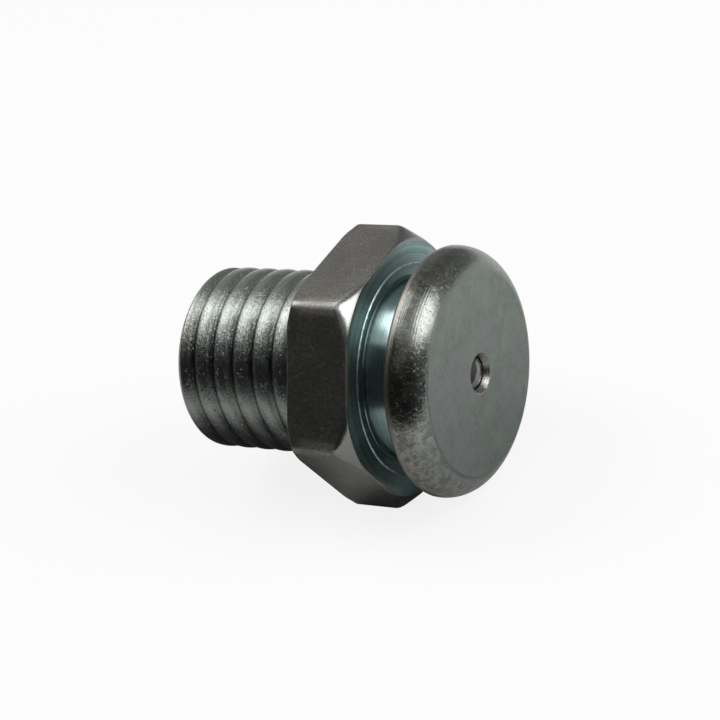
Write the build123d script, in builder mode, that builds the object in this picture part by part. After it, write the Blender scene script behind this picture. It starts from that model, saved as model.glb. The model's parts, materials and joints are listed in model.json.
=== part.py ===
from build123d import *
import math
import os

# A button-head grease nipple, in millimetres, lying on a flat of its hexagon.
# X is the nipple's axis. The plane x = 0 is the hexagon's rear face, which
# seats on the machine. The shank points to -X and the button head to +X.

# Shank, with its thread left at the full outside diameter
thread_diameter = 12.0
thread_length = 10.0
thread_end_chamfer = 0.4

# Hexagon of drawn bar, with its rounded corners turned down by a cone at each face.
# A cone starts on a circle that is this much wider than the flats.
hex_across_flats = 16.0
hex_height = 4.4
hex_corner_radius = 0.7
hex_rear_circle_extra = 1.1
hex_rear_cone_angle = 30.0
hex_front_circle_extra = 0.6
hex_front_cone_angle = 45.0

# Neck, where the coupler's jaws slide in behind the head
neck_diameter = 11.8
neck_length = 2.5
recess_width = 0.85
recess_depth = 0.1

# Button head, with a rounded crown that meets the flat face at a slight edge
head_diameter = 16.0
head_rear_radius = 0.4
head_rim_length = 0.1
head_crown_length = 1.95
head_crown_width = 1.5

# Check ball, and the passage that it closes
ball_diameter = 4.0
ball_seat_gap = 0.02
ball_side_room = 0.5
inlet_diameter = 2.1
inlet_wall = 0.45
inlet_mouth_chamfer = 0.3
seat_cone_angle = 110.0

# Spring, between the ball and the rolled lip at the shank's end
wire_diameter = 0.6
spring_pitch = 2.8
spring_side_room = 0.3
spring_end_gap = 0.02
wire_sides = 8

# Lip, rolled inwards over the bore once the spring is in
lip_thickness = 0.6
lip_reach = 0.1
lip_opening_chamfer = 0.2

# Places along the axis
shank_end_x = -thread_length
head_rear_x = hex_height + neck_length
rear_round_x = head_rear_x + head_rear_radius
crown_x = rear_round_x + head_rim_length
face_x = crown_x + head_crown_length

# The ball touches the seat cone, which starts at the foot of the inlet's wall
ball_radius = ball_diameter / 2
inlet_radius = inlet_diameter / 2
seat_half_angle = math.radians(seat_cone_angle / 2)
seat_apex_x = face_x - inlet_wall + inlet_radius / math.tan(seat_half_angle)
ball_x = seat_apex_x - (ball_radius + ball_seat_gap) / math.sin(seat_half_angle)

# The bore leaves room for grease to pass the ball
bore_radius = ball_radius + ball_side_room
bore_top_x = seat_apex_x - bore_radius / math.tan(seat_half_angle)
lip_inner_x = shank_end_x + lip_thickness

# The spring stands on the lip, and its other end rings the ball
wire_radius = wire_diameter / 2
spring_radius = bore_radius - spring_side_room - wire_radius
spring_inner_radius = spring_radius - wire_radius
spring_start_x = lip_inner_x + spring_end_gap
spring_end_x = ball_x - math.sqrt(ball_radius**2 - spring_inner_radius**2) - spring_end_gap
lip_opening_radius = spring_inner_radius - lip_reach


# Body, turned from hexagon bar in one piece
with BuildPart() as nipple_body:
    # Hexagon bar, with two flats level
    with BuildSketch(Plane.YZ) as bar_section:
        RegularPolygon(hex_across_flats / 2, 6, major_radius=False)
        fillet(bar_section.vertices(), hex_corner_radius)
    extrude(amount=hex_height)

    # The cones that take its corners down
    corner_radius = hex_across_flats / math.sqrt(3)
    rear_circle_radius = (hex_across_flats + hex_rear_circle_extra) / 2
    front_circle_radius = (hex_across_flats + hex_front_circle_extra) / 2
    rear_slope = math.tan(math.radians(hex_rear_cone_angle))
    front_slope = math.tan(math.radians(hex_front_cone_angle))
    rear_drop = (corner_radius - rear_circle_radius) * rear_slope
    front_drop = (corner_radius - front_circle_radius) * front_slope
    with BuildSketch() as hex_envelope:
        with BuildLine():
            Polyline(
                (0, 0),
                (0, rear_circle_radius),
                (rear_drop, corner_radius),
                (hex_height - front_drop, corner_radius),
                (hex_height, front_circle_radius),
                (hex_height, 0),
                close=True,
            )
        make_face()
    revolve(axis=Axis.X, mode=Mode.INTERSECT)

    # Shallow turned recess round the foot of the neck
    with BuildSketch(Plane.YZ.offset(hex_height)):
        Circle(neck_diameter / 2 + recess_width)
    extrude(amount=-recess_depth, mode=Mode.SUBTRACT)

    # Shank
    with BuildSketch(Plane.YZ):
        Circle(thread_diameter / 2)
    extrude(amount=-thread_length)
    chamfer(nipple_body.faces().sort_by(Axis.X)[0].edges(), thread_end_chamfer)

    # Neck and button head
    rim_radius = head_diameter / 2
    face_radius = rim_radius - head_crown_width
    crown_radius = (head_crown_length**2 + head_crown_width**2) / (2 * head_crown_width)
    crown_angle = math.degrees(2 * math.atan(head_crown_width / head_crown_length))
    recess_floor_x = hex_height - recess_depth
    with BuildSketch() as head_profile:
        with BuildLine():
            Polyline(
                (face_x, 0),
                (recess_floor_x, 0),
                (recess_floor_x, neck_diameter / 2),
                (head_rear_x, neck_diameter / 2),
                (head_rear_x, rim_radius - head_rear_radius),
            )
            CenterArc((rear_round_x, rim_radius - head_rear_radius), head_rear_radius, 180, -90)
            Line((rear_round_x, rim_radius), (crown_x, rim_radius))
            CenterArc((crown_x, rim_radius - crown_radius), crown_radius, 90, -crown_angle)
            Line((face_x, face_radius), (face_x, 0))
        make_face()
    revolve(axis=Axis.X)

    # Passage: the lip's opening, the spring bore, the seat cone and the inlet
    with BuildSketch() as passage_profile:
        with BuildLine():
            Polyline(
                (shank_end_x, 0),
                (shank_end_x, lip_opening_radius + lip_opening_chamfer),
                (shank_end_x + lip_opening_chamfer, lip_opening_radius),
                (lip_inner_x, lip_opening_radius),
                (lip_inner_x, bore_radius),
                (bore_top_x, bore_radius),
                (face_x - inlet_wall, inlet_radius),
                (face_x - inlet_mouth_chamfer, inlet_radius),
                (face_x, inlet_radius + inlet_mouth_chamfer),
                (face_x, 0),
                close=True,
            )
        make_face()
    revolve(axis=Axis.X, mode=Mode.SUBTRACT)

nipple_body.part.label = "nipple_body"

# Check ball
with BuildPart() as check_ball:
    with Locations((ball_x, 0, 0)):
        Sphere(ball_radius)

check_ball.part.label = "check_ball"

# Spring, one coiled wire with both ends ground flat
with BuildPart() as ball_spring:
    coil_length = spring_end_x - spring_start_x
    with BuildLine() as coil:
        Helix(spring_pitch, coil_length, spring_radius, (spring_start_x, 0, 0), (1, 0, 0))
    with BuildSketch(Plane(origin=coil.line @ 0, z_dir=coil.line % 0)):
        RegularPolygon(wire_radius, wire_sides)
    sweep(path=coil.line, is_frenet=True)
    with BuildSketch(Plane.YZ.offset(spring_start_x)):
        Circle(bore_radius)
    extrude(amount=coil_length, mode=Mode.INTERSECT)

ball_spring.part.label = "ball_spring"

os.makedirs("parts", exist_ok=True)
for piece in (nipple_body, check_ball, ball_spring):
    export_step(piece.part, f"parts/{piece.part.label}.step")
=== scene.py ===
import json
import math

import bmesh
import bpy
import numpy as np
from mathutils import Matrix, Vector


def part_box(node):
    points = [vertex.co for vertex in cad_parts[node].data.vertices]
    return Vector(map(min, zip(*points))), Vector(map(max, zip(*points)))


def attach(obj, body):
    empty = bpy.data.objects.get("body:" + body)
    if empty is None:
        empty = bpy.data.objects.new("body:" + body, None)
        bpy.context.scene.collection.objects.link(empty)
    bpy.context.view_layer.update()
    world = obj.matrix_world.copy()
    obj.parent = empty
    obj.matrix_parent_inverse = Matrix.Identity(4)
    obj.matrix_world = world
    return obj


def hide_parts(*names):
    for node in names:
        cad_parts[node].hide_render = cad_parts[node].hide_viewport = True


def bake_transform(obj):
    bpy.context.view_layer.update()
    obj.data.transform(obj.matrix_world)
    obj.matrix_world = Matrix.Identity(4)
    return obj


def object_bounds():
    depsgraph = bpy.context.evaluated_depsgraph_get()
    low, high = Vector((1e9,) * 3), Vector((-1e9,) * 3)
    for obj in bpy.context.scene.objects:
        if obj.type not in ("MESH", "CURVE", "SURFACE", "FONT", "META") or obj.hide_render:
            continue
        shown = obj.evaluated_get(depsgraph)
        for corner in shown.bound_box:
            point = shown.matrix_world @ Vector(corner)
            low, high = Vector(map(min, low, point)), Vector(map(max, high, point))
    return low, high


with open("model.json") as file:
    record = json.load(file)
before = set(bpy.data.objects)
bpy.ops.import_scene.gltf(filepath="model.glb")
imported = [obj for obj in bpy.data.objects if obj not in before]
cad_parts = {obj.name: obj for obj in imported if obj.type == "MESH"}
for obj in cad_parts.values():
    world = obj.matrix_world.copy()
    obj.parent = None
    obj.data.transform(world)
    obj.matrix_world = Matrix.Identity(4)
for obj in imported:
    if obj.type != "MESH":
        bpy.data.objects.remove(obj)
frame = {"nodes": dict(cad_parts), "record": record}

cad_low, cad_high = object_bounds()

bl_info = {
    "name": "Button-head grease nipple",
    "version": (1, 0, 0),
    "blender": (4, 5, 0),
    "location": "View3D > Sidebar > Grease nipple",
    "description": "Dresses a button-head grease nipple in zinc-plated steel and sets its stage",
    "category": "Object",
}

MM = 0.001
BODY = "body"
WHITE = (1.0, 1.0, 1.0)

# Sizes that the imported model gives
MOUNTS = {mount["name"]: mount for mount in frame["record"]["mounts"]}
NIPPLE_LOW, NIPPLE_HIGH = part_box("nipple_body")
SPRING_LOW, SPRING_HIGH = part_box("ball_spring")
THREAD_RADIUS = MOUNTS["thread"]["dims"]["r_mm"] * MM
SHANK_END_X = NIPPLE_LOW.x
FACE_X = NIPPLE_HIGH.x
FLAT_RADIUS = NIPPLE_HIGH.z

# How meshes are finished
SHARP_ANGLE = math.radians(32)
WELD_DISTANCE = 1e-4 * MM


def length_property(name, description, millimetres):
    """A size that is written in millimetres."""
    return bpy.props.FloatProperty(
        name=name, description=description, default=millimetres * MM, unit="LENGTH")


def angle_property(name, description, degrees):
    """An angle that is written in degrees."""
    return bpy.props.FloatProperty(
        name=name, description=description, default=math.radians(degrees), subtype="ANGLE")


def colour_property(name, description, colour):
    """A colour's three channels."""
    return bpy.props.FloatVectorProperty(
        name=name, description=description, default=colour, subtype="COLOR")


def power_property(name, description, watts):
    """A lamp's power."""
    return bpy.props.FloatProperty(name=name, description=description, default=watts, unit="POWER")


class TurnedBodySizes(bpy.types.PropertyGroup):
    """Sizes of the turned body. Its axis starts at the hexagon's rear face."""

    thread_pitch: length_property("Thread pitch", "Travel of the thread in one turn", 1.5)
    thread_depth: length_property("Thread depth", "Depth of the groove below the crest", 0.42)
    thread_flank: angle_property("Thread flank", "Slope of the groove's sides from the axis", 48)
    thread_crown: length_property(
        "Crest crown", "Fall of the crest's rounded top at the pitch line", 0.26)
    thread_root: length_property("Root rounding", "Rounding where the flanks meet", 0.12)
    thread_phase: length_property("Thread start", "Shift of the groove along the axis", -0.42)
    run_out_start: length_property(
        "Run-out start", "Where the groove begins to fade, behind the hexagon", 1.9)
    run_out_end: length_property("Run-out end", "Where the groove has faded, behind the hexagon", 0.55)
    shank_chamfer: length_property("Shank chamfer", "Chamfer at the shank's end", 0.4)
    hex_height: length_property("Hexagon height", "Height of the hexagon", 4.4)
    hex_corner: length_property("Corner rounding", "Rounding of the hexagon's six corners", 0.7)
    hex_rear_circle: length_property(
        "Rear chamfer circle", "Radius where the rear chamfer starts", 8.55)
    hex_front_circle: length_property(
        "Front chamfer circle", "Radius where the front chamfer starts", 8.3)
    hex_rear_angle: angle_property(
        "Rear chamfer angle", "Angle of the rear cone from the rear face", 30)
    hex_front_angle: angle_property(
        "Front chamfer angle", "Angle of the front cone from the front face", 45)
    hex_edge: length_property("Edge rounding", "Rounding of the hexagon's turned edges", 0.12)
    recess_radius: length_property("Recess radius", "Radius of the shallow recess round the neck", 6.75)
    recess_depth: length_property("Recess depth", "Depth of the shallow recess round the neck", 0.1)
    recess_burr: length_property(
        "Recess burr", "Height of the thin burr that the tool left round the recess", 0.08)
    neck_radius: length_property("Neck radius", "Radius of the neck", 5.9)
    neck_waist: length_property("Neck waist", "How far the neck narrows behind the head", 0.1)
    neck_flare: length_property(
        "Neck flare", "How far the neck widens from its waist to its foot", 0.25)
    head_rear: length_property("Head rear", "Place of the head's rear face", 6.9)
    head_radius: length_property("Head radius", "Radius of the button head", 8.0)
    head_rear_round: length_property("Rear rounding", "Rounding of the head's rear edge", 0.4)
    crown_length: length_property("Crown length", "Length of the rounded crown along the axis", 1.95)
    face_radius: length_property("Face radius", "Radius of the flat face", 6.5)
    inlet_radius: length_property("Inlet radius", "Radius of the inlet hole", 1.05)
    inlet_wall: length_property("Inlet wall", "Depth of the inlet's straight wall", 0.45)
    inlet_mouth: length_property("Inlet mouth", "Width of the worn chamfer at the inlet's mouth", 0.25)
    inlet_mouth_depth: length_property(
        "Inlet mouth depth", "Depth of the worn chamfer at the inlet's mouth", 0.34)
    seat_angle: angle_property("Seat angle", "Angle of the ball's seat between its sides", 110)
    bore_radius: length_property("Bore radius", "Radius of the spring bore", 2.5)
    lip_opening: length_property("Lip opening", "Radius of the rolled lip's opening", 1.5)
    lip_thickness: length_property("Lip thickness", "Thickness of the rolled lip", 0.6)


class SpringSizes(bpy.types.PropertyGroup):
    """Sizes of the ball's spring."""

    wire_radius: length_property("Wire radius", "Radius of the spring's wire", 0.3)
    active_turns: bpy.props.IntProperty(
        name="Active turns", description="Turns between the two closed end coils", default=5)


class SteelColours(bpy.types.PropertyGroup):
    """Colours of the plated steel, one for each way that its surface was made."""

    flat_steel: colour_property("Drawn flats", "Drawn flats of the hexagon", (0.291, 0.283, 0.257))
    turned_steel: colour_property(
        "Turned faces", "Turned faces, bluish from the zinc's passivation", (0.232, 0.338, 0.334))
    neck_steel: colour_property("Neck", "Smooth turned neck", (0.29, 0.375, 0.37))
    rim_steel: colour_property(
        "Head rear edge", "Rounded rear edge of the button head, where the zinc is thin",
        (0.27, 0.239, 0.213))
    head_steel: colour_property("Head rim", "Rim and crown of the button head", (0.22, 0.234, 0.214))
    face_steel: colour_property("Head face", "Flat face of the button head", (0.209, 0.24, 0.214))
    thread_steel: colour_property("Thread", "Thread of the shank", (0.215, 0.231, 0.214))
    bore_steel: colour_property("Bore", "Inlet hole, seat and bore", (0.246, 0.246, 0.231))
    ball_steel: colour_property("Ball", "Hardened check ball", (0.308, 0.308, 0.293))
    spring_steel: colour_property("Spring", "Drawn spring wire", (0.185, 0.177, 0.169))


class StageSettings(bpy.types.PropertyGroup):
    """Floor, lamps and camera."""

    camera_azimuth: angle_property(
        "Camera azimuth", "Turn of the camera round the nipple, from -Y towards +X", 37.61)
    camera_elevation: angle_property("Camera elevation", "Angle of the camera above the floor", 31.08)
    camera_roll: angle_property("Camera roll", "Lean of the camera to the right", 17.83)
    camera_distance: length_property(
        "Camera distance", "Distance from the point that the camera looks at", 150)
    camera_lens: bpy.props.FloatProperty(
        name="Lens", description="Focal length in millimetres", default=115.58)
    camera_aim: bpy.props.FloatVectorProperty(
        name="Aim", description="Point that the camera looks at", subtype="TRANSLATION",
        default=(0.301 * MM, 0.342 * MM, 0.144 * MM))
    floor_colour: colour_property("Floor", "Colour of the floor", (0.88, 0.88, 0.88))
    surround_strength: bpy.props.FloatProperty(
        name="Surround", description="Strength of the pale surround", default=0.21)
    strip_power: power_property("Strip power", "Power of the wide overhead lamp", 0.325)
    shank_power: power_property("Shank lamp power", "Power of the lamp above the shank's side", 0.5)
    head_power: power_property("Head lamp power", "Power of the lamp beyond the button head", 1.14)


def settings(name):
    """The scene's property group of that name."""
    return getattr(bpy.context.scene, name)


class Value:
    """A shader socket that Python's arithmetic works on."""

    def __init__(self, graph, socket):
        self.graph = graph
        self.socket = socket

    def math(self, operation, other):
        """The result of a maths node that has this value first."""
        return self.graph.add("ShaderNodeMath", {"operation": operation}, {0: self, 1: other})

    def __add__(self, other):
        return self.math("ADD", other)

    __radd__ = __add__

    def __sub__(self, other):
        return self.math("SUBTRACT", other)

    def __rsub__(self, other):
        return self.graph.add("ShaderNodeMath", {"operation": "SUBTRACT"}, {0: other, 1: self})

    def __neg__(self):
        return 0.0 - self

    def __mul__(self, other):
        return self.math("MULTIPLY", other)

    __rmul__ = __mul__

    def __pow__(self, other):
        return self.math("POWER", other)

    def ramp(self, start, end):
        """0 at start and 1 at end, clamped, with an eased middle."""
        return self.graph.add(
            "ShaderNodeMapRange",
            {"interpolation_type": "SMOOTHSTEP"},
            {"Value": self, "From Min": start, "From Max": end})


class Graph:
    """The node tree of one material or world."""

    def __init__(self, tree):
        self.tree = tree
        tree.nodes.clear()

    def add(self, kind, options=None, inputs=None, output=0):
        """A node of that type. Options are set first, then its sockets get values or links."""
        node = self.tree.nodes.new(kind)
        for name, value in (options or {}).items():
            setattr(node, name, value)
        for key, value in (inputs or {}).items():
            socket = self.find(node, key)
            if isinstance(value, Value):
                self.tree.links.new(value.socket, socket)
            elif socket.type == "RGBA":
                socket.default_value = (*value, 1.0)
            else:
                socket.default_value = value
        return Value(self, node.outputs[output]) if node.outputs else None

    @staticmethod
    def find(node, key):
        """The node's input with that number, identifier or name."""
        if isinstance(key, int):
            return node.inputs[key]
        return next(socket for socket in node.inputs if key in (socket.identifier, socket.name))

    def mix_colour(self, factor, first, second):
        """The first colour where the factor is 0, the second where it is 1."""
        return self.add(
            "ShaderNodeMix",
            {"data_type": "RGBA"},
            {"Factor_Float": factor, "A_Color": first, "B_Color": second},
            output=2)

    def coats(self, base, *layers):
        """Colours laid over a base in turn, each with its own share."""
        for share, colour in layers:
            base = self.mix_colour(share, base, colour)
        return base

    def place(self):
        """The point on the nipple, in millimetres."""
        point = self.add("ShaderNodeTexCoord", output=3)
        return self.add(
            "ShaderNodeVectorMath", {"operation": "SCALE"}, {"Vector": point, "Scale": 1 / MM})

    def split(self, vector):
        """The three places along the axes."""
        node = self.add("ShaderNodeSeparateXYZ", inputs={"Vector": vector}).socket.node
        return [Value(self, output) for output in node.outputs]

    def join(self, x, y, z):
        """A vector of three places."""
        return self.add("ShaderNodeCombineXYZ", inputs={"X": x, "Y": y, "Z": z})

    def noise(self, vector, scale, detail=2.0, rough=0.5, distortion=0.0):
        """Soft random patches, whose scale is in patches to the millimetre."""
        return self.add(
            "ShaderNodeTexNoise",
            inputs={"Vector": vector, "Scale": scale, "Detail": detail, "Roughness": rough,
                    "Distortion": distortion})

    def bump(self, height, strength, distance):
        """A surface normal from a height, whose distance is in millimetres."""
        return self.add(
            "ShaderNodeBump", inputs={"Strength": strength, "Distance": distance * MM, "Height": height})


def new_material(name):
    """A material and the graph of its empty node tree."""
    material = bpy.data.materials.new(name)
    material.use_nodes = True
    return material, Graph(material.node_tree)


def new_object(name, data):
    """An object in the scene that holds a mesh, a lamp or a lens."""
    holder = bpy.data.objects.new(name, data)
    bpy.context.scene.collection.objects.link(holder)
    return holder


def steel_material(name, colour, paint):
    """A plated steel, whose colour, roughness and bump are painted by a function of its graph."""
    material, graph = new_material(name)
    material.diffuse_color = (*colour, 1.0)
    base, rough, normal = paint(graph, tuple(colour))
    shader = graph.add(
        "ShaderNodeBsdfPrincipled",
        inputs={"Base Color": base, "Metallic": 1.0, "Roughness": rough, "Normal": normal})
    graph.add("ShaderNodeOutputMaterial", inputs={"Surface": shader})
    return material


def tint(colour, factor):
    """The colour with every channel times the factor."""
    return tuple(channel * factor for channel in colour)


def from_axis(y, z):
    """Distance from the nipple's axis."""
    return (y * y + z * z) ** 0.5


def body_size(name):
    """A size of the turned body in millimetres, the unit of the paint functions."""
    return getattr(settings("nipple_body_sizes"), name) / MM


def turning_marks(graph, point, scale):
    """Fine rings round the axis, as a lathe tool leaves them."""
    x, y, z = graph.split(point)
    return graph.noise(graph.join(x * scale, from_axis(y, z) * scale, 0.0), scale=1.0, detail=3.0)


def paint_flats(graph, colour):
    """Drawn flats with pale specks, smoother on the cone that was turned at the front face."""
    point = graph.place()
    x, y, z = graph.split(point)
    radius = from_axis(y, z)
    patches = graph.noise(point, scale=0.55, detail=4.0)
    grain = graph.noise(point, scale=6.5, detail=4.0, rough=0.7)
    specks = graph.noise(point, scale=3.6, detail=5.0, rough=0.75).ramp(0.6, 0.7)
    rings = turning_marks(graph, point, scale=7.0)

    # All over the 45 degree front cone, x and the radius add up to one length
    cone_sum = body_size("hex_height") + body_size("hex_front_circle")
    cone = (x + radius).ramp(cone_sum - 0.25, cone_sum - 0.1)
    rounding = body_size("hex_corner")
    corner_tip = (FLAT_RADIUS / MM - rounding) / math.cos(math.pi / 6) + rounding
    corner = radius.ramp(corner_tip - 0.33, corner_tip - 0.11) * x.ramp(0.3, 1.6) * (1.0 - cone)

    base = graph.mix_colour(patches.ramp(0.3, 0.7), tint(colour, 0.86), tint(colour, 1.12))
    base = graph.mix_colour(grain.ramp(0.35, 0.65), tint(colour, 0.6), base)
    base = graph.coats(
        base,
        (specks * 0.7, tint(colour, 2.3)),
        (cone * 0.8, tint((0.95, 1.0, 0.95), colour[1])))
    rough = 0.3 + grain * 0.12 - cone * 0.13 + corner * 0.16
    height = (grain + specks * 0.4) * (1.0 - cone * 0.8) + rings * cone * 1.6
    return base, rough, graph.bump(height, strength=0.4, distance=0.025)


def paint_turned(graph, colour):
    """Turned faces with tool rings and stains, painted light on the lower part, and bright nicks along
    the burr that are partly a painted highlight.
    """
    point = graph.place()
    x, _, z = graph.split(point)
    marks = turning_marks(graph, point, scale=14.0)
    stains = graph.noise(point, scale=0.8, detail=3.0)
    nicks = graph.noise(point, scale=3.2, detail=4.0, rough=0.7).ramp(0.42, 0.58)
    hex_front = body_size("hex_height")
    # Bright nicks along the burr, partly a painted highlight that makes its ridge near white
    burr = x.ramp(hex_front + 0.01, hex_front + 0.05) * nicks
    # Painted light: the lower part of the turned faces is paler
    below = (-z).ramp(4.0, 7.0)
    base = graph.coats(
        graph.mix_colour(marks.ramp(0.35, 0.65), tint(colour, 0.8), tint(colour, 1.25)),
        (stains.ramp(0.45, 0.7) * 0.5, tint(colour, 1.5)),
        (below * 0.6, tint(colour, 1.7)),
        (burr * 0.8, tint((0.95, 1.0, 0.97), colour[1] * 2.0)))
    rough = 0.36 + stains * 0.1 - burr * 0.12
    return base, rough, graph.bump(marks + burr * 0.5, strength=0.4, distance=0.02)


def paint_neck(graph, colour):
    """A smooth neck with faint tool rings."""
    marks = turning_marks(graph, graph.place(), scale=9.0)
    base = graph.mix_colour(marks.ramp(0.3, 0.7), tint(colour, 0.9), tint(colour, 1.1))
    return base, 0.17 + marks * 0.08, graph.bump(marks, strength=0.25, distance=0.012)


def paint_head(graph, colour):
    """Mottled zinc, calmer above, brownish at the rear edge, with a painted shade line where the face
    begins and a lighter crown that is partly a painted highlight.
    """
    rim_colour = tuple(settings("nipple_colours").rim_steel)
    head_rear, face_radius = body_size("head_rear"), body_size("face_radius")
    point = graph.place()
    x, y, z = graph.split(point)
    radius = from_axis(y, z)
    lumps = graph.noise(point, scale=2.1, detail=5.0, rough=0.6, distortion=0.7)
    grain = graph.noise(point, scale=6.0, detail=4.0, rough=0.7)
    chips = graph.noise(point, scale=5.5, detail=3.0, rough=0.6).ramp(0.58, 0.68)
    streaks = turning_marks(graph, point, scale=9.0)
    calm = z.ramp(3.2, 6.2)
    mottles = lumps.ramp(0.4, 0.62) * (1.0 - calm * 0.6)
    edge = 1.0 - (x + lumps * 0.5).ramp(head_rear + 0.6, head_rear + 0.85)
    # Painted shade: a dark line where the crown meets the face
    painted_crease_shade_end = 1.0 - radius.ramp(face_radius + 0.1, face_radius + 0.3)
    painted_crease_shade = radius.ramp(face_radius - 0.04, face_radius + 0.06) * painted_crease_shade_end
    band = graph.mix_colour(mottles, tint(colour, 0.66), tint((1.04, 1.0, 0.9), colour[1] * 1.2))
    # The crown's lighter colour is partly a painted highlight
    crown = graph.mix_colour(mottles, tint(colour, 0.88), tint((0.94, 1.0, 0.93), colour[1] * 1.42))
    base = graph.coats(
        graph.mix_colour((x - lumps * 0.4).ramp(head_rear + 1.2, head_rear + 1.7), band, crown),
        (edge * 0.8, rim_colour),
        (painted_crease_shade * mottles * 0.7, tint(colour, 0.35)))
    rough = 0.12 + lumps * 0.14 + edge * 0.18
    height = lumps * (0.8 - calm * 0.6) + grain * 0.35 + streaks * 1.1 + chips * 0.24
    return base, rough, graph.bump(height, strength=0.5, distance=0.05)


def paint_face(graph, colour):
    """The flat face: greenish and violet stains, fine mottles, slanting scuffs and dark pits."""
    point = graph.place()
    x, y, z = graph.split(point)
    across, along = y * 0.6 + z * 0.8, z * 2.2 - y * 3.0
    stains = graph.noise(point, scale=0.9, detail=6.0, rough=0.6, distortion=0.5)
    mottles = graph.noise(point, scale=2.8, detail=5.0, rough=0.68)
    grain = graph.noise(point, scale=8.0, detail=3.0)
    pits = graph.noise(point, scale=1.7, detail=5.0, rough=0.7).ramp(0.66, 0.74)
    scuffs = graph.noise(graph.join(x, across, along), scale=1.5, detail=5.0, rough=0.75)
    violet = graph.noise(point, scale=0.28, detail=3.0, distortion=0.4).ramp(0.46, 0.6)
    base = graph.coats(
        graph.mix_colour(stains.ramp(0.35, 0.68), tint(colour, 0.84), tint(colour, 1.1)),
        (violet * 0.7, tint((1.03, 1.0, 1.05), colour[1] * 0.93)),
        (mottles.ramp(0.35, 0.65) * 0.6, tint((0.86, 1.0, 0.92), colour[1] * 1.15)),
        (scuffs.ramp(0.56, 0.7) * 0.5, tint(colour, 0.62)),
        (pits * 0.6, tint(colour, 0.45)))
    height = mottles + grain * 0.4 + scuffs * 0.8 - pits * 0.5
    return base, 0.38 + grain * 0.1, graph.bump(height, strength=0.45, distance=0.04)


def paint_thread(graph, colour):
    """Painted shade in the grooves, beside the hexagon and on the duller lower side, painted light on the
    top and the middle, and crests with wear, tool tears, bright nicks and grit, whose rubbed tops are
    partly a painted highlight.
    """
    outside = THREAD_RADIUS / MM
    point = graph.place()
    x, y, z = graph.split(point)
    radius = from_axis(y, z)
    wear = graph.noise(graph.join(x * 2.6, y, z), scale=1.9, detail=6.0, rough=0.7)
    tears = graph.noise(graph.join(x * 2.0, y, z), scale=6.0, detail=4.0, rough=0.7)
    nicks = graph.noise(point, scale=4.2, detail=4.0, rough=0.7).ramp(0.6, 0.7)
    stains = graph.noise(point, scale=0.5, detail=4.0, rough=0.6).ramp(0.48, 0.62)
    grit = graph.noise(point, scale=8.0, detail=3.0, rough=0.6)
    # Painted shade: the grooves below the crest are darkened
    crest = radius.ramp(outside - 0.26, outside - 0.02)
    # Rubbed crest tops, brighter as wear and partly as a painted highlight
    rubbed_and_painted_highlight = radius.ramp(outside - 0.08, outside - 0.015) * tears.ramp(0.4, 0.56)
    # Painted shade beside the hexagon
    painted_shade_near_hexagon = x.ramp(-2.4, -0.8)
    # Painted light: the thread's middle height is lighter
    middle = z.ramp(-1.2, 0.2) * (1.0 - z.ramp(2.0, 3.4))
    # Duller on the lower side, which is also darker as painted shade
    dull_and_painted_shade_below = (-z).ramp(-0.5, 3.0)
    # Painted light: the top of the thread is lighter
    top = z.ramp(4.9, 5.6)
    base = graph.coats(
        graph.mix_colour(crest, tint(colour, 0.25), colour),
        (stains * 0.4, tint((1.06, 1.0, 0.86), colour[1] * 0.8)),
        (wear.ramp(0.42, 0.6) * 0.6, tint((0.9, 1.0, 0.98), colour[1] * 0.55)),
        (rubbed_and_painted_highlight * 0.5, tint(colour, 2.2)),
        (nicks * 0.5, tint(colour, 1.9)),
        (grit.ramp(0.56, 0.66) * 0.45, tint(colour, 2.6)),
        (painted_shade_near_hexagon * 0.5, tint(colour, 0.5)),
        (middle * 0.5, tint(colour, 1.7)),
        (dull_and_painted_shade_below * 0.5, tint((0.96, 1.0, 0.94), colour[1] * 0.5)),
        (top * 0.6, tint(colour, 2.0)))
    rough = 0.12 + wear * 0.13 + dull_and_painted_shade_below * 0.16
    height = wear + tears * 0.65 + nicks * 0.35 + grit * 0.15
    return base, rough, graph.bump(height, strength=0.5, distance=0.08)


def paint_bore(graph, colour):
    """The passage, with coarse tool rings and dents."""
    point = graph.place()
    marks = turning_marks(graph, point, scale=8.0)
    dents = graph.noise(point, scale=5.0, detail=4.0, rough=0.7)
    base = graph.mix_colour(marks, tint(colour, 0.8), tint(colour, 1.4))
    return base, 0.22 + marks * 0.1, graph.bump(marks + dents, strength=0.5, distance=0.05)


def paint_ball(graph, colour):
    """A polished ball with painted shade on the upper side that the inlet shows."""
    painted_shade_colour = (0.018, 0.021, 0.018)
    point = graph.place()
    _, y, z = graph.split(point)
    smudge = graph.noise(point, scale=1.6, detail=5.0, rough=0.6)
    # Painted shade as a dark film on the upper side of the ball
    painted_shade = (z * 0.75 - y * 0.65 + smudge * 1.2).ramp(0.66, 0.86)
    base = graph.coats(
        graph.mix_colour(smudge.ramp(0.4, 0.6), tint(colour, 0.8), tint(colour, 1.1)),
        (painted_shade * 0.85, painted_shade_colour))
    return base, 0.16 + smudge * 0.14, graph.bump(smudge, strength=0.2, distance=0.02)


def paint_spring(graph, colour):
    """Drawn wire, faintly uneven."""
    draw = graph.noise(graph.place(), scale=5.0, detail=4.0)
    base = graph.mix_colour(draw, tint(colour, 0.7), tint(colour, 1.2))
    return base, 0.3 + draw * 0.15, graph.bump(draw, strength=0.2, distance=0.01)


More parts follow.
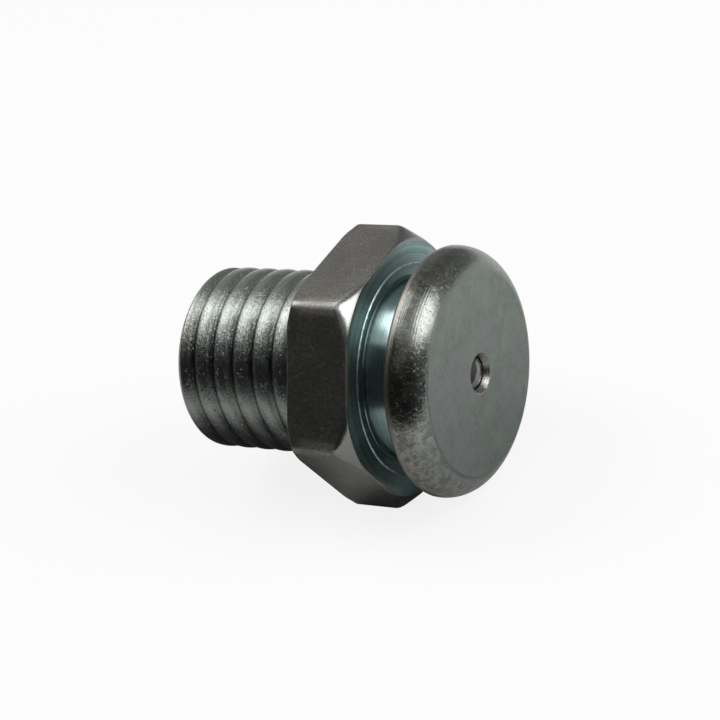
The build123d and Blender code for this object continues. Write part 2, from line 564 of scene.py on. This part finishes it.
def new_piece(name, points, faces, materials, slots=None, sharp=SHARP_ANGLE):
    """A mesh object, welded, smooth but for its sharp edges."""
    mesh = bpy.data.meshes.new(name)
    mesh.from_pydata([tuple(point) for point in points], [], faces)
    for material in materials:
        mesh.materials.append(material)
    if slots is not None:
        mesh.polygons.foreach_set("material_index", slots)
    piece = new_object(name, mesh)
    weld(mesh)
    mesh.polygons.foreach_set("use_smooth", [True] * len(mesh.polygons))
    mesh.set_sharp_from_angle(angle=sharp)
    return piece


def weld(mesh):
    """Joins points that lie on each other, drops faces with no area and turns the rest outwards."""
    work = bmesh.new()
    work.from_mesh(mesh)
    bmesh.ops.remove_doubles(work, verts=work.verts, dist=WELD_DISTANCE)
    bmesh.ops.dissolve_degenerate(work, dist=WELD_DISTANCE, edges=work.edges)
    bmesh.ops.recalc_face_normals(work, faces=work.faces)
    work.to_mesh(mesh)
    work.free()


def arc(centre, radius, start, end, steps):
    """Points (x, r) of an arc, angles in degrees from the axis."""
    points = []
    for i in range(steps + 1):
        angle = math.radians(start + (end - start) * i / steps)
        points.append((centre[0] + radius * math.cos(angle), centre[1] + radius * math.sin(angle)))
    return points


def smooth_min(a, b, blend):
    """The lower of two values, eased over a short blend."""
    share = np.clip(0.5 + 0.5 * (b - a) / blend, 0.0, 1.0)
    return b + (a - b) * share - blend * share * (1.0 - share)


def smooth_max(a, b, blend):
    """The higher of two values, eased over a short blend."""
    return -smooth_min(-a, -b, blend)


def ease(value, start, end):
    """0 before start and 1 past end, with an eased middle."""
    share = np.clip((value - start) / (end - start), 0.0, 1.0)
    return share * share * (3.0 - 2.0 * share)


class BodyShape:
    """Outline of the turned body as rings of points round the axis."""

    # Points along one flat, round one corner and along one turn of the thread
    FLAT_STEPS = 26
    CORNER_STEPS = 10
    TURN_SAMPLES = 20

    # Blends where two slopes meet, and the rise of the shank's chamfer
    CREST_BLEND = 0.08 * MM
    END_BLEND = 0.2 * MM
    REAR_BLEND = 0.15 * MM
    FRONT_BLEND = 0.35 * MM
    END_SLOPE = 1.2

    # Width of the burr outside the recess
    BURR_WIDTH = 0.08 * MM

    def __init__(self, sizes):
        self.sizes = sizes
        self.corner_half = math.pi / 6 - math.atan(
            (FLAT_RADIUS - sizes.hex_corner) * math.tan(math.pi / 6) / FLAT_RADIUS)
        self.angles = self.columns()
        self.rings = []
        self.zones = []

        # The thread's first and last ring
        self.helix = (0, 0)

    def columns(self):
        """Angles round the axis from +Y, close together at the hexagon's corners."""
        wide = self.corner_half * 1.6
        angles = []
        for side in range(6):
            corner = side * math.pi / 3
            for i in range(self.CORNER_STEPS):
                angles.append(corner - wide + 2 * wide * i / self.CORNER_STEPS)
            flat = math.pi / 3 - 2 * wide
            for i in range(self.FLAT_STEPS):
                angles.append(corner + wide + flat * i / self.FLAT_STEPS)
        return np.array(angles)

    def hexagon_radius(self):
        """Radius of the hexagon's side at each column, with rounded corners."""
        sizes = self.sizes
        off = np.abs((self.angles + math.pi / 6) % (math.pi / 3) - math.pi / 6)
        centre = (FLAT_RADIUS - sizes.hex_corner) / math.cos(math.pi / 6)
        flat = FLAT_RADIUS / np.cos(math.pi / 6 - off)
        inside = np.clip(sizes.hex_corner**2 - (centre * np.sin(off)) ** 2, 0.0, None)
        rounded = centre * np.cos(off) + np.sqrt(inside)
        return np.where(off < self.corner_half, rounded, flat)

    def ring(self, x, radius, zone):
        """Adds one ring: x and radius are numbers or one value for each column."""
        x = np.broadcast_to(np.asarray(x, float), self.angles.shape)
        radius = np.broadcast_to(np.asarray(radius, float), self.angles.shape)
        self.rings.append(np.c_[x, radius * np.cos(self.angles), radius * np.sin(self.angles)])
        self.zones.append(zone)

    def path(self, points, zone):
        """Adds round rings through points (x, r)."""
        for x, radius in points:
            self.ring(x, radius, zone)

    def thread_radius(self, x):
        """Radius of the thread at x, for each column."""
        sizes = self.sizes
        turn = (x - sizes.thread_phase) / sizes.thread_pitch - self.angles / (2 * math.pi)
        from_root = np.abs(turn - np.round(turn)) * sizes.thread_pitch
        half = sizes.thread_pitch / 2
        root = THREAD_RADIUS - sizes.thread_depth
        flank = root + from_root * math.tan(sizes.thread_flank)
        crown = THREAD_RADIUS - sizes.thread_crown * ((half - from_root) / half) ** 2
        radius = smooth_min(flank, crown, self.CREST_BLEND)
        radius = smooth_max(radius, root + sizes.thread_root, sizes.thread_root)
        fade = ease(-x, sizes.run_out_end, sizes.run_out_start)
        radius = THREAD_RADIUS + (radius - THREAD_RADIUS) * fade
        end = THREAD_RADIUS - sizes.shank_chamfer + (x - SHANK_END_X) * self.END_SLOPE
        return smooth_min(radius, end, self.END_BLEND)

    def thread_rings(self):
        """Rings that climb with the thread, so that its crest runs along them."""
        pitch = self.sizes.thread_pitch
        lead = pitch * (self.angles - self.angles[0]) / (2 * math.pi)
        rows = int(math.ceil((pitch - SHANK_END_X) / pitch * self.TURN_SAMPLES))
        first = len(self.rings)
        for row in range(rows + 1):
            start = SHANK_END_X - pitch + row * pitch / self.TURN_SAMPLES
            x = np.clip(start + lead, SHANK_END_X, 0.0)
            self.ring(x, self.thread_radius(x), "thread")
        self.helix = (first, len(self.rings) - 1)

    def hexagon_rings(self):
        """Seat face, sides with both turned cones, and front face up to the recess."""
        sizes = self.sizes
        side = self.hexagon_radius()
        edge = sizes.hex_edge
        rear, front = math.tan(sizes.hex_rear_angle), math.tan(sizes.hex_front_angle)

        def outline(x):
            """Radius of the hexagon at x, for each column."""
            radius = smooth_min(side, sizes.hex_rear_circle + x / rear, self.REAR_BLEND)
            front_cone = sizes.hex_front_circle + (sizes.hex_height - x) / front
            radius = smooth_min(radius, front_cone, self.FRONT_BLEND)
            near = min(x, sizes.hex_height - x)
            return radius - (edge - math.sqrt(max(edge**2 - max(edge - near, 0.0) ** 2, 0.0)))

        for share in (0.02, 0.5, 0.97):
            self.ring(0.0, THREAD_RADIUS + (outline(0.0) - THREAD_RADIUS) * share, "turned")
        for x in self.hexagon_stations():
            self.ring(x, outline(x), "flats")
        inner = sizes.recess_radius + self.BURR_WIDTH
        for share in (0.97, 0.6, 0.3, 0.04):
            self.ring(sizes.hex_height, inner + (outline(sizes.hex_height) - inner) * share, "turned")

    def hexagon_stations(self):
        """Places along the hexagon, close together near both faces."""
        sizes = self.sizes
        curl = [sizes.hex_edge * (1 - math.cos(math.radians(turn))) for turn in (0, 30, 60, 90)]
        rear_steps = (0.17, 0.23, 0.29, 0.35, 0.41, 0.47, 0.55, 0.65, 0.8)
        front_steps = (0.19, 0.27, 0.35, 0.43, 0.51, 0.59, 0.67, 0.75, 0.84, 0.94, 1.06, 1.2)
        rear = curl + [step * MM for step in rear_steps]
        front = curl + [step * MM for step in front_steps]
        middle = [sizes.hex_height * share for share in (0.35, 0.52, 0.65)]
        return rear + middle + [sizes.hex_height - x for x in reversed(front)]

    def neck_rings(self):
        """Burr and recess round the foot, then the neck, which narrows a little towards the head."""
        sizes = self.sizes
        floor = sizes.hex_height - sizes.recess_depth
        burr = sizes.hex_height + sizes.recess_burr
        recess = sizes.recess_radius
        waist = sizes.neck_radius - sizes.neck_waist
        flared = waist + sizes.neck_flare
        fillet = 0.2 * MM
        self.path([
            (sizes.hex_height, recess + self.BURR_WIDTH),
            (burr - 0.03 * MM, recess + 0.04 * MM),
            (burr - 0.005 * MM, recess + 0.01 * MM),
            (burr, recess - 0.02 * MM),
            (floor + 0.02 * MM, recess - 0.05 * MM),
            (floor, recess - 0.07 * MM),
            (floor, flared + 0.06 * MM)], "turned")
        self.path([(floor + 0.01 * MM, flared + 0.02 * MM)], "neck")
        foot, end = floor + 0.04 * MM, sizes.head_rear - 0.6 * MM
        for share in (0.0, 0.06, 0.12, 0.2, 0.3, 0.42, 0.55, 0.7, 0.85, 1.0):
            self.ring(foot + (end - foot) * share, waist + sizes.neck_flare * (1 - share) ** 2, "neck")
        self.path(arc((sizes.head_rear - fillet, waist + fillet), fillet, 270, 360, 4), "neck")

    def head_rings(self):
        """Rear face, rounded rear edge, crown and flat face down to the inlet."""
        sizes = self.sizes
        rear, rounding = sizes.head_rear, sizes.head_rear_round
        inner = sizes.head_radius - rounding
        self.path([(rear, sizes.neck_radius + 0.25 * MM), (rear, inner - 0.1 * MM)], "head")
        self.path(arc((rear + rounding, inner), rounding, 180, 90, 8), "head")
        run = sizes.head_radius - sizes.face_radius
        crown = (sizes.crown_length**2 + run**2) / (2 * run)
        sweep = math.degrees(math.asin(sizes.crown_length / crown))
        start = (FACE_X - sizes.crown_length, sizes.head_radius - crown)
        self.path(arc(start, crown, 90, 90 - sweep, 16), "head")
        self.path([(FACE_X, sizes.face_radius - 0.06 * MM)], "face")
        self.path([(FACE_X, sizes.face_radius * share) for share in (0.75, 0.5, 0.3)], "face")
        self.path([(FACE_X, sizes.inlet_radius + sizes.inlet_mouth + 0.05 * MM)], "face")

    def bore_rings(self):
        """Worn mouth and wall of the inlet, seat cone, spring bore, rolled lip and the shank's end."""
        sizes = self.sizes
        inlet, bore, opening = sizes.inlet_radius, sizes.bore_radius, sizes.lip_opening
        mouth = inlet + sizes.inlet_mouth
        foot = FACE_X - sizes.inlet_mouth_depth
        wall_end = FACE_X - sizes.inlet_wall
        lip = SHANK_END_X + sizes.lip_thickness
        seat_run = (bore - inlet) / math.tan(sizes.seat_angle / 2)
        edge = 0.04 * MM
        roll = 0.25 * MM
        self.path([
            (FACE_X, mouth + edge),
            (FACE_X - edge / 3, mouth),
            (FACE_X - edge, mouth - edge),
            (foot + edge, inlet + edge),
            (foot, inlet + edge / 4),
            (foot - edge / 2, inlet),
            (wall_end + edge / 2, inlet),
            (wall_end, inlet + edge / 4),
            (wall_end - seat_run, bore),
            (lip + 0.2 * MM, bore),
            (lip, bore - 0.05 * MM),
            (lip, opening + 0.2 * MM)], "bore")
        self.path(arc((lip - roll, opening + roll), roll, 360, 180, 10), "bore")
        end = THREAD_RADIUS - sizes.shank_chamfer
        self.path([(SHANK_END_X, opening + 1.2 * MM), (SHANK_END_X, end - 0.5 * MM)], "end")

    def build(self):
        """Points, faces and the finish of each face."""
        self.thread_rings()
        self.hexagon_rings()
        self.neck_rings()
        self.head_rings()
        self.bore_rings()
        count = len(self.angles)
        total = len(self.rings)
        first, last = self.helix
        faces, zones = [], []
        for row in range(total):
            above = (row + 1) % total
            for column in range(count):
                beside = (column + 1) % count
                near, far = row, above

                # After a full turn, a ring of the thread has climbed by one pitch
                if beside == 0 and first <= row < last:
                    near = min(row + self.TURN_SAMPLES, last)
                    far = min(row + 1 + self.TURN_SAMPLES, last)
                faces.append((row * count + column, above * count + column,
                              far * count + beside, near * count + beside))
                zones.append(self.zones[above])
        return np.concatenate(self.rings), faces, zones


# Each zone of the body with its colour and the function that paints it
FINISHES = {
    "thread": ("thread_steel", paint_thread),
    "turned": ("turned_steel", paint_turned),
    "flats": ("flat_steel", paint_flats),
    "neck": ("neck_steel", paint_neck),
    "head": ("head_steel", paint_head),
    "face": ("face_steel", paint_face),
    "bore": ("bore_steel", paint_bore),
    "end": ("turned_steel", paint_turned),
}


class NIPPLE_OT_turned_body(bpy.types.Operator):
    """Makes the body: thread, hexagon, neck, button head and the passage through them"""

    bl_idname = "grease_nipple.turned_body"
    bl_label = "Turned body"

    def execute(self, context):
        colours = settings("nipple_colours")
        zones = list(FINISHES)
        materials = [
            steel_material(f"{zone}_finish", getattr(colours, colour), paint)
            for zone, (colour, paint) in FINISHES.items()]
        points, faces, kinds = BodyShape(settings("nipple_body_sizes")).build()
        slots = [zones.index(kind) for kind in kinds]
        body = new_piece("turned_body", points, faces, materials, slots)
        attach(body, BODY)
        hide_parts("nipple_body")
        return {"FINISHED"}


class NIPPLE_OT_check_ball(bpy.types.Operator):
    """Polishes the check ball that closes the inlet"""

    bl_idname = "grease_nipple.check_ball"
    bl_label = "Check ball"

    def execute(self, context):
        ball = frame["nodes"]["check_ball"]
        material = steel_material("ball_finish", settings("nipple_colours").ball_steel, paint_ball)
        ball.data.materials.clear()
        ball.data.materials.append(material)
        return {"FINISHED"}


class NIPPLE_OT_ball_spring(bpy.types.Operator):
    """Winds the spring that presses the ball to its seat"""

    bl_idname = "grease_nipple.ball_spring"
    bl_label = "Ball spring"

    # Points along one turn and round the wire, a closed coil's rise in wire radii, and the
    # angle from which an edge stays sharp, as round the ground ends
    STEPS = 36
    SIDES = 14
    CLOSED_RISE = 2.05
    SHARP_ANGLE = math.radians(50)

    def execute(self, context):
        sizes = settings("nipple_spring_sizes")
        wire = sizes.wire_radius
        coil = SPRING_HIGH.y - wire
        centres = self.centres(sizes, coil)
        points = []
        for place, along in centres:
            out = Vector((0.0, place.y, place.z)).normalized()
            across = along.cross(out)
            for side in range(self.SIDES):
                angle = 2 * math.pi * side / self.SIDES
                away = out * (wire * math.cos(angle)) + across * (wire * math.sin(angle))
                points.append(place + away)
        for point in points:
            point.x = min(max(point.x, SPRING_LOW.x), SPRING_HIGH.x)
        faces = [tuple(reversed(range(self.SIDES)))]
        for i in range(len(centres) - 1):
            for side in range(self.SIDES):
                beside = (side + 1) % self.SIDES
                near, far = i * self.SIDES, (i + 1) * self.SIDES
                faces.append((near + side, near + beside, far + beside, far + side))
        last = (len(centres) - 1) * self.SIDES
        faces.append(tuple(range(last, last + self.SIDES)))
        material = steel_material("spring_finish", settings("nipple_colours").spring_steel, paint_spring)
        spring = new_piece("coiled_spring", points, faces, [material], sharp=self.SHARP_ANGLE)
        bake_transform(spring)
        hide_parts("ball_spring")
        return {"FINISHED"}

    def centres(self, sizes, coil):
        """Points of the wire's centre line with its direction: closed coils at both ends."""
        turns = sizes.active_turns + 2
        wire = sizes.wire_radius
        low, high = SPRING_LOW.x, SPRING_HIGH.x
        rise = wire * self.CLOSED_RISE
        stretch = (high - low - 2 * rise) / sizes.active_turns

        def height(turn):
            """Rise of the wire from the spring's foot after that many turns."""
            lower = turn * rise
            open_part = rise + (turn - 1) * stretch
            upper = high - low - (turns - turn) * rise
            return float(smooth_min(smooth_max(lower, open_part, wire), upper, wire))

        line = []
        count = turns * self.STEPS
        for i in range(count + 1):
            turn = i / self.STEPS
            angle = 2 * math.pi * turn
            line.append(Vector((low + height(turn), coil * math.cos(angle), coil * math.sin(angle))))
        ahead = [line[min(i + 1, count)] - line[max(i - 1, 0)] for i in range(count + 1)]
        return [(place, step.normalized()) for place, step in zip(line, ahead)]


def area_lamp(name, place, aim, size, power):
    """A soft white lamp that faces the point it is aimed at."""
    lamp = bpy.data.lights.new(name, "AREA")
    lamp.shape = "RECTANGLE"
    lamp.size, lamp.size_y = size
    lamp.energy = power
    holder = new_object(name, lamp)
    holder.location = place
    holder.rotation_mode = "QUATERNION"
    holder.rotation_quaternion = (Vector(aim) - Vector(place)).to_track_quat("-Z", "Y")


def stage_piece(name, points, faces, material):
    """A piece of the stage, which isn't part of the nipple."""
    mesh = bpy.data.meshes.new(name)
    mesh.from_pydata(points, [], faces)
    mesh.materials.append(material)
    piece = new_object(name, mesh)
    return piece


def seen_or_mirrored(graph, seen, mirrored):
    """One share where the camera looks straight at the stage, another where metal or glass shows it."""
    path = graph.add("ShaderNodeLightPath").socket.node
    kinds = ("Is Camera Ray", "Is Glossy Ray", "Is Transmission Ray")
    camera, glossy, transmission = [Value(graph, path.outputs[kind]) for kind in kinds]
    return (camera * seen).math("MAXIMUM", glossy.math("MAXIMUM", transmission) * mirrored)


def floor_material(colour):
    """A pale matt floor, plain white where it is seen and fainter where the steel mirrors it."""
    material, graph = new_material("pale_floor")
    matt = graph.add("ShaderNodeBsdfDiffuse", inputs={"Color": tuple(colour)})
    white = graph.add("ShaderNodeEmission", inputs={"Color": WHITE, "Strength": 1.0})
    share = seen_or_mirrored(graph, seen=0.85, mirrored=0.25)
    surface = graph.add("ShaderNodeMixShader", inputs={"Fac": share, 1: matt, 2: white})
    graph.add("ShaderNodeOutputMaterial", inputs={"Surface": surface})
    return material


def card_material(name, strength, fade=None, cover=1.0):
    """A card that glows evenly, solid or fading out between two distances in millimetres."""
    material, graph = new_material(name)
    surface = graph.add("ShaderNodeEmission", inputs={"Color": WHITE, "Strength": strength})
    if fade:
        x, y, _ = graph.split(graph.place())
        clear = graph.add("ShaderNodeBsdfTransparent")
        share = (1.0 - from_axis(x, y).ramp(*fade)) * cover
        surface = graph.add("ShaderNodeMixShader", inputs={"Fac": share, 1: clear, 2: surface})
    graph.add("ShaderNodeOutputMaterial", inputs={"Surface": surface})
    return material


def mirror_only(card):
    """The steel mirrors this card, which neither lights nor shades the floor and the nipple."""
    card.visible_camera = False
    card.visible_shadow = False
    card.visible_diffuse = False


def flat_card(name, place, facing, size, strength, fade=None, cover=1.0):
    """A flat card with a glow of its own."""
    half_x, half_y = size[0] / 2, size[1] / 2
    corners = [(-half_x, -half_y, 0), (half_x, -half_y, 0), (half_x, half_y, 0), (-half_x, half_y, 0)]
    card = stage_piece(name, corners, [(0, 1, 2, 3)], card_material(name, strength, fade, cover))
    card.location = place
    card.rotation_mode = "QUATERNION"
    card.rotation_quaternion = Vector(facing).to_track_quat("Z", "Y")
    mirror_only(card)
    return card


def shade_card(name, centre, width, lift, strength, fade, cover, stretch=1.0):
    """Soft shade just over the floor, round or stretched along the nipple."""
    place = (*centre, cad_low.z + lift)
    card = flat_card(name, place, (0, 0, 1), (width, width), strength, fade, cover)
    card.scale.x = stretch


def curved_card(name, radius, turn, low, high, material):
    """A standing band round the nipple. Turns run from -Y towards +X, high is its top at either end."""
    steps = 12
    points = []
    for i in range(steps + 1):
        share = i / steps
        angle = math.radians(turn[0] + (turn[1] - turn[0]) * share)
        top = high[0] + (high[1] - high[0]) * share
        for z in (low, top):
            points.append((radius * math.sin(angle), -radius * math.cos(angle), z))
    faces = [(2 * i, 2 * i + 2, 2 * i + 3, 2 * i + 1) for i in range(steps)]
    mirror_only(stage_piece(name, points, faces, material))


class NIPPLE_OT_stage(bpy.types.Operator):
    """Sets the floor, the cards that the steel mirrors, the lamps, the surround and the camera"""

    bl_idname = "grease_nipple.stage"
    bl_label = "Stage"

    def execute(self, context):
        stage = settings("nipple_stage")
        self.floor(stage)
        self.dark_cards()
        self.pale_cards()
        self.floor_shades()
        self.surround(context, stage)
        self.lamps(stage)
        self.camera(context, stage)
        context.scene.view_settings.view_transform = "Standard"
        return {"FINISHED"}

    def floor(self, stage):
        """A floor that reaches far past the picture, under the lowest flat."""
        half = 2.0
        z = cad_low.z
        corners = [(-half, -half, z), (half, -half, z), (half, half, z), (-half, half, z)]
        stage_piece("floor", corners, [(0, 1, 2, 3)], floor_material(stage.floor_colour))

    def dark_cards(self):
        """A dark band beside the nipple, lower past its head, and a card that shades its neck."""
        ground, radius, bend = cad_low.z, 0.042, 60
        dark = card_material("dark_band", strength=0.03)
        curved_card(
            "dark_band", radius, turn=(-75, bend), low=ground, high=(0.028, 0.031), material=dark)
        side = card_material("dark_side", strength=0.06)
        curved_card(
            "dark_side", radius, turn=(bend, 97), low=ground, high=(0.031, 0.012), material=side)
        near, far, z = -0.0105, -0.028, 0.018
        corners = [(-0.0075, near, z), (0.0055, near, z), (0.003, far, z), (-0.016, far, z)]
        mirror_only(stage_piece("neck_shade", corners, [(0, 1, 2, 3)], dark))

    def pale_cards(self):
        """A small glint over the neck and a large card behind the nipple."""
        flat_card(
            "neck_glint", place=(0.001, -0.0015, 0.02), facing=(0, 0, -1), size=(0.011, 0.011),
            strength=4.2, fade=(1.5, 5.2))
        behind = Vector((-0.157, 0.203, 0.165))
        flat_card("pale_card", place=behind, facing=-behind, size=(0.26, 0.24), strength=0.4)

    def floor_shades(self):
        """Shade on the floor: wide, close under the shank, and at the hexagon's foot."""
        shade_card(
            "floor_shade", centre=(-0.008, -0.003), width=0.118, lift=0.03 * MM,
            strength=0.033, fade=(8.0, 58.0), cover=0.48)
        shade_card(
            "heel_shade", centre=(0.0032, -0.0035), width=0.01, lift=0.09 * MM,
            strength=0.02, fade=(2.0, 4.8), cover=0.9)
        shade_card(
            "contact_shade", centre=(-0.01, -0.006), width=0.014, lift=0.06 * MM,
            strength=0.02, fade=(4.0, 6.9), cover=0.9, stretch=1.6)

    def surround(self, context, stage):
        """A pale world, white where it is seen and faint where the steel mirrors it."""
        world = bpy.data.worlds.new("pale_surround")
        context.scene.world = world
        world.use_nodes = True
        graph = Graph(world.node_tree)
        strength = stage.surround_strength
        soft = graph.add("ShaderNodeBackground", inputs={"Color": WHITE, "Strength": strength})
        white = graph.add("ShaderNodeBackground", inputs={"Color": WHITE, "Strength": 1.0})
        share = seen_or_mirrored(graph, seen=0.97, mirrored=0.07)
        surface = graph.add("ShaderNodeMixShader", inputs={"Fac": share, 1: soft, 2: white})
        graph.add("ShaderNodeOutputWorld", inputs={"Surface": surface})

    def lamps(self, stage):
        """A wide strip overhead, and a lamp beyond either end of the nipple."""
        nipple = (0, 0, 0)
        area_lamp(
            "overhead_strip", place=(0.07, -0.045, 0.3), aim=(0.07, -0.045, 0), size=(0.68, 0.23),
            power=stage.strip_power)
        area_lamp(
            "shank_lamp", place=(-0.217, 0.008, 0.288), aim=nipple, size=(0.2, 0.22),
            power=stage.shank_power)
        area_lamp(
            "head_lamp", place=(0.34, 0.048, 0.206), aim=nipple, size=(0.24, 0.39),
            power=stage.head_power)

    def camera(self, context, stage):
        """The photograph's camera, placed by its turn, height and distance and then rolled."""
        lens = bpy.data.cameras.new("photo_camera")
        lens.lens = stage.camera_lens
        lens.clip_start, lens.clip_end = 0.01, 10.0
        camera = new_object("photo_camera", lens)
        azimuth, elevation = stage.camera_azimuth, stage.camera_elevation
        back = Vector((math.sin(azimuth) * math.cos(elevation),
                       -math.cos(azimuth) * math.cos(elevation), math.sin(elevation)))
        level = (-back).to_track_quat("-Z", "Y").to_matrix().to_4x4()
        place = Matrix.Translation(Vector(stage.camera_aim) + back * stage.camera_distance)
        camera.matrix_world = place @ level @ Matrix.Rotation(-stage.camera_roll, 4, "Z")
        context.scene.camera = camera


class NIPPLE_PT_sidebar(bpy.types.Panel):
    """Lists the steps that dress the nipple"""

    bl_label = "Grease nipple"
    bl_idname = "NIPPLE_PT_sidebar"
    bl_space_type = "VIEW_3D"
    bl_region_type = "UI"
    bl_category = "Grease nipple"

    def draw(self, context):
        for operator in PIECE_OPERATORS:
            self.layout.operator(operator.bl_idname)
        for group in PROPERTY_GROUPS:
            box = self.layout.box()
            values = getattr(context.scene, group)
            for name in values.bl_rna.properties.keys():
                if name not in ("rna_type", "name"):
                    box.prop(values, name)


PIECE_OPERATORS = (NIPPLE_OT_turned_body, NIPPLE_OT_check_ball, NIPPLE_OT_ball_spring, NIPPLE_OT_stage)
PROPERTY_GROUPS = {
    "nipple_body_sizes": TurnedBodySizes,
    "nipple_spring_sizes": SpringSizes,
    "nipple_colours": SteelColours,
    "nipple_stage": StageSettings,
}


def register():
    """Adds the settings, the operators and the panel."""
    for group in (*PROPERTY_GROUPS.values(), *PIECE_OPERATORS, NIPPLE_PT_sidebar):
        bpy.utils.register_class(group)
    for name, group in PROPERTY_GROUPS.items():
        setattr(bpy.types.Scene, name, bpy.props.PointerProperty(type=group))


def unregister():
    """Takes the settings, the operators and the panel away."""
    for name in PROPERTY_GROUPS:
        delattr(bpy.types.Scene, name)
    for group in (NIPPLE_PT_sidebar, *reversed(PIECE_OPERATORS), *PROPERTY_GROUPS.values()):
        bpy.utils.unregister_class(group)


def main():
    """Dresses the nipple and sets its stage."""
    register()
    bpy.ops.grease_nipple.turned_body()
    bpy.ops.grease_nipple.check_ball()
    bpy.ops.grease_nipple.ball_spring()
    bpy.ops.grease_nipple.stage()


if __name__ == "__main__":
    main()
